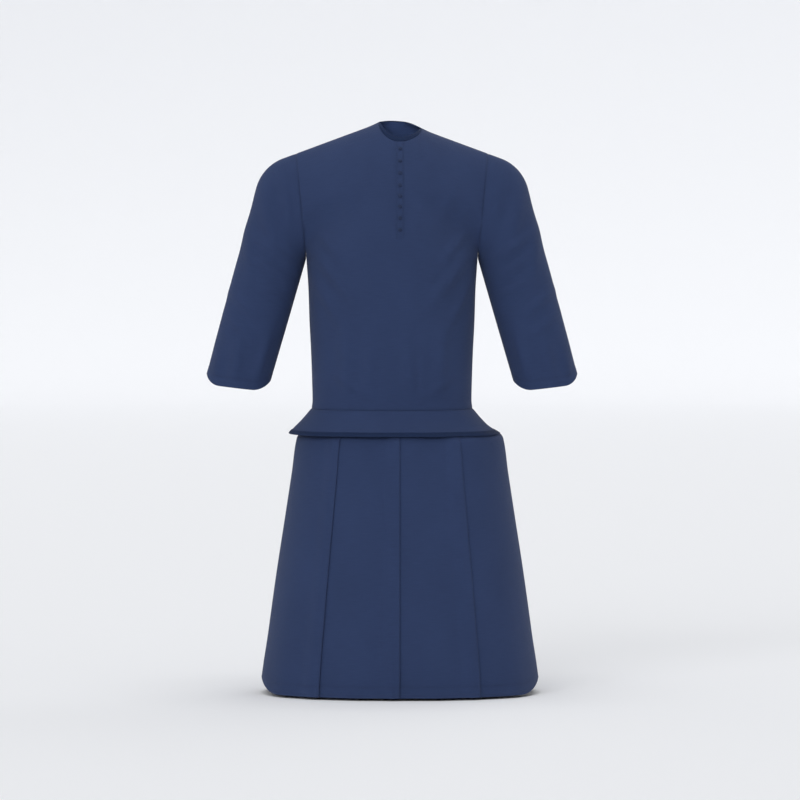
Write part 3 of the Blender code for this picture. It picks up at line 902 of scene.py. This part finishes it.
make_sleeve("sleeve_left", 1, 1.0)
make_sleeve("sleeve_right", -1, 1.015)

# %% [markdown]
# ## Peplum and hem band
# The short flared length under the waist seam is cut as part of a ring, so its hem is longer than its
# top and falls in shallow waves. The dark band is laid over the lowest centimetre, and is made from the
# same form moved out, so it follows every wave.

# %% Make the peplum
# z, centre x, half width, half depth
PEPLUM = (
    (-0.7084, -0.0127, 0.2427, 0.1720),
    (-0.7000, -0.0160, 0.2320, 0.1635),
    (-0.6885, -0.0184, 0.2185, 0.1520),
    (-0.6740, -0.0184, 0.2045, 0.1380),
    (WAIST_Z, tunic_x, 0.1850, 0.1215),
)
PEPLUM_HEM_Z = PEPLUM[0][0]
HEM_BAND_TOP_Z = -0.6995
WAVE_GROWTH = 1.3              # power by which the waves grow towards the hem
SEAM_HOLD = 12                 # power that keeps the waves off the side seams
# share of the half width, width, height
FRONT_WAVES = (
    (-0.78, 0.13, 0.0040), (-0.46, 0.10, -0.0030), (-0.20, 0.12, 0.0036), (0.10, 0.10, -0.0028),
    (0.36, 0.13, 0.0042), (0.66, 0.10, -0.0030), (0.88, 0.08, 0.0030),
)
BACK_WAVES = (
    (-0.85, 0.10, 0.0034), (-0.55, 0.12, -0.0032), (-0.22, 0.11, 0.0044), (0.06, 0.10, -0.0030),
    (0.30, 0.12, 0.0040), (0.60, 0.12, -0.0034), (0.84, 0.09, 0.0036),
)


def wave(waves, share):
    """Height of the waves at this share of the half width."""
    raised = sum(height * math.exp(-((share - at) / width) ** 2) for at, width, height in waves)
    return raised * (1 - abs(share) ** SEAM_HOLD)


def peplum_place(facing, waves, columns, rows, top_z, proud=lambda row: 0.0):
    def place(column, row):
        share = math.sin((2 * column / columns - 1) * math.pi / 2)
        z = PEPLUM_HEM_Z + (top_z - PEPLUM_HEM_Z) * row / rows
        centre_x, half_width, half_depth = section(PEPLUM, z)
        down = (WAIST_Z - z) / (WAIST_Z - PEPLUM_HEM_Z)
        out = proud(row) + wave(waves, share) * down ** WAVE_GROWTH
        depth = (half_depth + out) * superellipse(share)
        return Vector((centre_x + (half_width + out * abs(share)) * share, facing * depth, z))
    return place


PEPLUM_GRID = (170, 18)
BAND_ROWS = 6
BAND_LIFT = 0.0008
BAND_BULGE = 0.0014
BAND_STITCH_INSET = 0.002


def band_proud(row):
    return BAND_LIFT + BAND_BULGE * rounded(row / BAND_ROWS)


def make_peplum(word, facing, waves):
    columns, rows = PEPLUM_GRID
    sheet = Sheet(columns, rows, peplum_place(facing, waves, columns, rows, WAIST_Z), facing)
    sheet.roll_edges(("left", "right", "top"))
    piece = sheet.finish(f"peplum_{word}_cloth", cloth, CLOTH_THICKNESS)
    place = peplum_place(facing, waves, columns, BAND_ROWS, HEM_BAND_TOP_Z, band_proud)
    band = Sheet(columns, BAND_ROWS, place, facing)
    trim = band.finish(f"hem_band_{word}_cloth", band_cloth, BAND_LIFT)
    dress(piece, f"peplum_{word}")
    dress(trim, f"hem_band_{word}")
    sheet.area()
    stitches(f"hem_band_{word}_stitches", [band.line_at("top", BAND_STITCH_INSET)])


make_peplum("front", FRONT, FRONT_WAVES)
make_peplum("back", BACK, BACK_WAVES)

# %% [markdown]
# ## Neck band
# The dark band finishes the front of the neck. It is cut as a crescent and stitched along its outer
# edge, so it is a little rounded across its width. Its inner edge is the opening itself.

# %% Make the neck band
NECK_BAND_WIDTH = 0.011
NECK_BAND_SEAM = 0.0003
NECK_BAND_PROUD = 0.0005
NECK_BAND_BULGE = 0.0007
NECK_BAND_END = 0.30           # its width at the shoulder seams, as a share
NECK_BAND_TAPER = 0.6
NECK_BAND_CAUGHT = 0.45        # share of the half circle over which its ends sink into the shoulder seams
NECK_BAND_GRID = (96, 8)
NECK_BAND_THICKNESS = 0.0018
NECK_BAND_STITCH_INSET = 0.0012


def neck_band_place(column, row):
    columns, rows = NECK_BAND_GRID
    angle = (2 * column / columns - 1) * math.pi / 2
    facing_front = max(0.0, math.cos(angle))
    width = NECK_BAND_WIDTH * (NECK_BAND_END + (1 - NECK_BAND_END) * facing_front ** NECK_BAND_TAPER)
    inward = NECK_BAND_SEAM + (width - NECK_BAND_SEAM) * row / rows
    x = -tunic_x + (NECK_HALF_WIDTH - inward) * math.sin(angle)
    rise = neck_rise(angle, NECK_DROP[FRONT], inward)
    bulge = NECK_BAND_BULGE * rounded(row / rows)
    caught = min(1.0, facing_front / NECK_BAND_CAUGHT)
    return chest_point(x, x, rise, (NECK_BAND_PROUD + bulge) * caught, FRONT)


band = Sheet(*NECK_BAND_GRID, neck_band_place, FRONT)
neck_band = band.finish("neck_band_cloth", band_cloth, NECK_BAND_THICKNESS)
dress(neck_band, "neck_band")
band.area()
stitches("neck_band_stitches", [band.line_at("bottom", NECK_BAND_STITCH_INSET)])

# %% [markdown]
# ## Neck facing
# Inside the back of the neck lies a facing: a shaped strip with its wrong side turned towards the wearer.
# Its cloth is painted three times paler than the navy, as painted light in the shaded inside of the neck. It
# is laid on the back's own form, moved in by a little more than the cloth's thickness. It is what shows
# through the neck opening from the front.

# %% Make the neck facing
FACING_GRID = (34, 12)
FACING_REACH = 0.17            # its depth, as a share of the way from the neck's edge to the armpit
FACING_INSET = 0.0019
FACING_THICKNESS = 0.0005
FACING_GAP = 0.003             # below the neck's edge, as a rise
FACING_STATIONS = (1.03, 1.97)  # where it starts and ends along the neck
FACING_STITCH_INSET = 0.003


def facing_place(column, row):
    columns, rows = FACING_GRID
    first, last = FACING_STATIONS
    station = first + (last - first) * column / columns
    x = across(station, SHOULDER_HALF_WIDTH)
    rise = neck_cut(station, NECK_DROP[BACK]) * (1 - FACING_REACH * (1 - row / rows)) - FACING_GAP
    return chest_point(x, x, rise, -FACING_INSET, BACK)


lining = Sheet(*FACING_GRID, facing_place, FRONT)
neck_facing = lining.finish("neck_facing", facing_painted_paler, FACING_THICKNESS)
dress(neck_facing)
lining.area()
stitches("neck_facing_stitches", [lining.line_at("bottom", FACING_STITCH_INSET)])

# %% [markdown]
# ## Placket and buttons
# The placket is a narrow strip over the slit, stitched down along both sides and across its end. It is
# laid on the front's own form, moved out along the form's normal. Each button is a half ball covered in
# cloth on a short neck: one outline, spun and then turned the way that the cloth faces there.

# %% Make the placket
PLACKET_HALF_WIDTH = 0.0088
PLACKET_LOW_RISE = 0.1464
PLACKET_LIFT = 0.0013
PLACKET_CLEARANCE = 0.0004     # between its wrong side and the front
PLACKET_EDGE_FALL = 0.0005
PLACKET_ROUNDING = 6
PLACKET_GRID = (10, 90)
PLACKET_STITCH_INSET = 0.0022
PLACKET_TOP_GAP = 0.0006       # as a rise, under the neck band


def front_point(x, rise, proud, step=0.002):
    """A point this far outside the form of the front, with the way that it faces."""
    def at(x, rise):
        return chest_point(x, x, rise, 0.0, FRONT)
    across_it = at(x + step, rise) - at(x - step, rise)
    up_it = at(x, rise + step) - at(x, rise - step)
    out = across_it.cross(up_it).normalized()
    return at(x, rise) + out * proud, out


def placket_place(column, row):
    columns, rows = PLACKET_GRID
    share = 2 * column / columns - 1
    x = -tunic_x + PLACKET_HALF_WIDTH * share
    low = PLACKET_LOW_RISE * climb(-tunic_x) / climb(x)
    high = neck_rise(math.asin(PLACKET_HALF_WIDTH * share / NECK_HALF_WIDTH), NECK_DROP[FRONT], 0.0)
    rise = low + (high - PLACKET_TOP_GAP - low) * row / rows
    return front_point(x, rise, PLACKET_LIFT - PLACKET_EDGE_FALL * abs(share) ** PLACKET_ROUNDING)[0]


strip = Sheet(*PLACKET_GRID, placket_place, FRONT)
for edge in ("left", "right"):
    strip.stitched_groove(edge, PLACKET_STITCH_INSET, depth=0.0003, width=0.0012)
placket = strip.finish("placket_cloth", cloth, PLACKET_LIFT - PLACKET_CLEARANCE)
dress(placket, "placket")
stitches("placket_stitches",
         [strip.line_at(edge, PLACKET_STITCH_INSET) for edge in ("left", "right", "bottom")])

# %% Make the buttons
BUTTON_RADIUS = 0.0042
BUTTON_HEIGHT = 0.0034
BUTTON_NECK = 0.62             # radius of the neck under the dome, as a share
BUTTON_FOOT, BUTTON_NECK_TOP = 0.0002, 0.0005
BUTTON_RIM = (0.93, 0.0007)    # the dome's underside: radius as a share, and height
DOME_FOOT = 0.0011
BUTTON_SEGMENTS = 32
BUTTON_DOME_POINTS = 9


def rise_at(z):
    """The front's rise at this height on the button line."""
    low, high = 0.0, 1.0
    while high - low > 1e-5:
        middle = (low + high) / 2
        if front_point(-tunic_x, middle, 0.0)[0].z < z:
            low = middle
        else:
            high = middle
    return low


def make_button(node):
    box_low, box_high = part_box(node)
    seat, out = front_point(-tunic_x, rise_at((box_low[2] + box_high[2]) / 2), PLACKET_LIFT)
    neck = BUTTON_NECK * BUTTON_RADIUS
    outline = [(neck, BUTTON_FOOT), (neck, BUTTON_NECK_TOP), (BUTTON_RIM[0] * BUTTON_RADIUS, BUTTON_RIM[1])]
    for index in range(BUTTON_DOME_POINTS):
        angle = index / (BUTTON_DOME_POINTS - 1) * math.pi / 2
        outline.append((BUTTON_RADIUS * math.cos(angle),
                        DOME_FOOT + (BUTTON_HEIGHT - DOME_FOOT) * math.sin(angle)))
    bm = bmesh.new()
    spin_outline(bm, outline, BUTTON_SEGMENTS)
    bmesh.ops.remove_doubles(bm, verts=bm.verts[:], dist=1e-5)
    bmesh.ops.contextual_create(bm, geom=[edge for edge in bm.edges if edge.is_boundary])
    bmesh.ops.recalc_face_normals(bm, faces=bm.faces[:])
    uv = bm.loops.layers.uv.new("cloth")
    for face in bm.faces:
        for loop in face.loops:
            loop[uv].uv = loop.vert.co.xy
    turn = Vector((0, 0, 1)).rotation_difference(out).to_matrix().to_4x4()
    bmesh.ops.transform(bm, matrix=Matrix.Translation(seat) @ turn, verts=bm.verts[:])
    piece = add_mesh(f"{node}_covered", bm, button_cloth)
    bm.free()
    dress(piece, node)
    return out


facings = [make_button(f"button_{number}") for number in range(1, 9)]
print("buttons face from", facings[0][:], "to", facings[-1][:])

# %% [markdown]
# ## Skirt
# Each panel is an A-line piece with three knife pleats. A pleat is three layers of cloth: the outer one
# rises a little, turns round a fold and runs back under itself, then turns again and goes on. Its path
# is drawn as distances along the section and out from it, with an arc at each fold, and every row
# follows one. The pleats stand a little wider open towards the hem, where nothing holds them.

# %% Skirt form
# z, half width, half depth
SKIRT = (
    (-1.3007, 0.3190, 0.2120),
    (-1.2500, 0.3148, 0.2095),
    (-1.1600, 0.3027, 0.2030),
    (-1.0300, 0.2846, 0.1930),
    (-0.9000, 0.2645, 0.1820),
    (-0.8000, 0.2492, 0.1730),
    (-0.7153, 0.2364, 0.1650),
    (-0.7084, 0.2276, 0.1560),
    (-0.6969, 0.2010, 0.1400),
    (-0.6785, 0.1820, 0.1260),
    (-0.6600, 0.1600, 0.1130),
    (-0.6423, 0.1450, 0.1075),
)
SKIRT_HEM_Z, HEM_HALF_WIDTH = SKIRT[0][:2]
SKIRT_TOP_Z = SKIRT[-1][0]
SKIRT_CORNER = 0.0414
SKIRT_CORNER_REACH = 0.1407    # the corner's rise fades over this height
SKIRT_CORNER_FADE = 2.35
SKIRT_ROWS = 104
PLEAT_CENTRES = (-0.573, 0.0, 0.573)
PLEAT_RAMP = 0.050
PLEAT_LAP = 0.016
PLEAT_PROUD = {"top": 0.0036, "hem": 0.0058}
LAYER_GAP = 0.0002
RAMP_STEPS = 10
FLAT_STEPS = 3
FOLD_STEPS = 8
PLAIN_STEPS = {"side": 28, "between": 26}


def pleat_path(proud):
    """(along, out) for every point of one pleat's right side, its outer layer this far out."""
    outer = (proud - LAYER_GAP) / 2
    inner = LAYER_GAP / 2
    lap = PLEAT_LAP
    path = [(-PLEAT_RAMP + (PLEAT_RAMP - lap) * step / RAMP_STEPS, proud * smooth_step(step / RAMP_STEPS))
            for step in range(RAMP_STEPS + 1)]
    path += [(-lap + (lap - outer) * step / FLAT_STEPS, proud) for step in range(1, FLAT_STEPS)]
    turns = [math.pi * step / FOLD_STEPS for step in range(FOLD_STEPS + 1)]
    path += [(outer * (math.sin(turn) - 1), LAYER_GAP + outer * (1 + math.cos(turn))) for turn in turns]
    path += [(-outer - (lap - outer) * step / FLAT_STEPS, LAYER_GAP) for step in range(1, FLAT_STEPS)]
    path += [(-lap, LAYER_GAP), (-lap - inner, inner), (-lap, 0.0)]
    return path


PLEAT_POINTS = len(pleat_path(PLEAT_PROUD["top"]))
FOLD_FIRST = RAMP_STEPS + FLAT_STEPS


def skirt_columns():
    """A panel's columns from side to side: a share of the half width, or a pleat's number and point."""
    ramp, lap = PLEAT_RAMP / HEM_HALF_WIDTH, PLEAT_LAP / HEM_HALF_WIDTH
    side, between = PLAIN_STEPS["side"], PLAIN_STEPS["between"]
    reach = PLEAT_CENTRES[0] - ramp + 1
    columns = [(-1 + reach * (1 - math.cos(step / side * math.pi / 2)), None) for step in range(side)]
    for pleat, centre in enumerate(PLEAT_CENTRES):
        columns += [(centre, point) for point in range(PLEAT_POINTS)]
        start = centre - lap
        if pleat < len(PLEAT_CENTRES) - 1:
            end = PLEAT_CENTRES[pleat + 1] - ramp
            columns += [(start + (end - start) * step / between, None) for step in range(1, between)]
        else:
            columns += [(start + (1 - start) * math.sin(step / side * math.pi / 2), None)
                        for step in range(1, side + 1)]
    return columns


SKIRT_LAYOUT = skirt_columns()
SKIRT_WAVES = {
    FRONT: ((-0.86, 0.09, 0.0040), (-0.30, 0.16, 0.0045), (0.26, 0.15, 0.0050), (0.84, 0.10, 0.0040)),
    BACK: ((-0.84, 0.10, 0.0045), (-0.28, 0.15, 0.0050), (0.30, 0.17, 0.0045), (0.86, 0.09, 0.0040)),
}


def skirt_place(facing):
    sections = []
    paths = []
    for row in range(SKIRT_ROWS + 1):
        z = SKIRT_HEM_Z + (SKIRT_TOP_Z - SKIRT_HEM_Z) * row / SKIRT_ROWS
        down = (SKIRT_TOP_Z - z) / (SKIRT_TOP_Z - SKIRT_HEM_Z)
        sections.append((z, *section(SKIRT, z), down))
        open_way = PLEAT_PROUD["hem"] - PLEAT_PROUD["top"]
        paths.append(pleat_path(PLEAT_PROUD["top"] + open_way * down ** 2))

    def place(column, row):
        z, half_width, half_depth, down = sections[row]
        share, point = SKIRT_LAYOUT[column]
        out = 0.0
        if point is not None:
            along_pleat, out = paths[row][point]
            share += along_pleat / HEM_HALF_WIDTH
        out += wave(SKIRT_WAVES[facing], share) * down ** 2
        depth = superellipse(share)
        normal = Vector((math.copysign(abs(share) ** (ROUNDNESS - 1), share) / half_width,
                         depth ** (ROUNDNESS - 1) / half_depth)).normalized()
        fade = max(0.0, 1 - (z - SKIRT_HEM_Z) / SKIRT_CORNER_REACH) ** SKIRT_CORNER_FADE
        rise = corner_rise(half_width * share, half_width, half_depth, SKIRT_CORNER) * fade
        flat = Vector((half_width * share, half_depth * depth)) + normal * out
        return Vector((flat.x, facing * flat.y, z + rise))
    return place


# %% Make the skirt
SKIRT_HEM = 0.025
SKIRT_THICKNESS = 0.0009
FOLD_PRESS_AND_SHADE = 0.5


def make_skirt_panel(name, facing):
    sheet = Sheet(len(SKIRT_LAYOUT) - 1, SKIRT_ROWS, skirt_place(facing), facing)
    sheet.roll_edges(("left", "right"))
    sheet.stitched_groove("bottom", SKIRT_HEM)
    folds = [column for column, (_, point) in enumerate(SKIRT_LAYOUT)
             if point is not None and FOLD_FIRST <= point <= FOLD_FIRST + FOLD_STEPS]
    # The pleats' fold edges are marked all the way down: pressed smoother, and painted darker as painted
    # shade along the folds.
    for line in sheet.grid:
        for column in folds:
            line[column][sheet.press_and_shade] = FOLD_PRESS_AND_SHADE
    piece = sheet.finish(f"{name}_cloth", cloth, SKIRT_THICKNESS, hem=("bottom", SKIRT_HEM))
    dress(piece, name)
    sheet.area()
    stitches(f"{name}_hem_stitches", [sheet.line_at("bottom", SKIRT_HEM)])


for name, facing in (("skirt_front", FRONT), ("skirt_back", BACK)):
    make_skirt_panel(name, facing)

# %% Make the waistband
WAISTBAND_GRID = (120, 12)
WAISTBAND_HEIGHT = 0.030
WAISTBAND_THICKNESS = 0.0016
WAISTBAND_BULGE = 0.0006


def waistband_place(segment, row):
    segments, rows = WAISTBAND_GRID
    angle = 2 * math.pi * segment / segments
    half_width, half_depth = SKIRT[-1][1:]
    bulge = WAISTBAND_BULGE * rounded(row / rows)
    z = SKIRT_TOP_Z + WAISTBAND_HEIGHT * row / rows
    return Vector(((half_width + bulge) * math.cos(angle), (half_depth + bulge) * math.sin(angle), z))


ring = Sheet(*WAISTBAND_GRID, waistband_place)
waistband = ring.finish("skirt_waistband_cloth", cloth, WAISTBAND_THICKNESS)
dress(waistband, "skirt_waistband")

# %% [markdown]
# ## Sizes
# The dressed part has to keep the solids' size, so both boxes are printed.

# %% Sizes and finish
dressed_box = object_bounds()
sizes = {"solids": [list(corner) for corner in cad_box], "dressed": [list(corner) for corner in dressed_box]}
for name, (low, high) in sizes.items():
    print(name, [round(top - bottom, 4) for bottom, top in zip(low, high)])
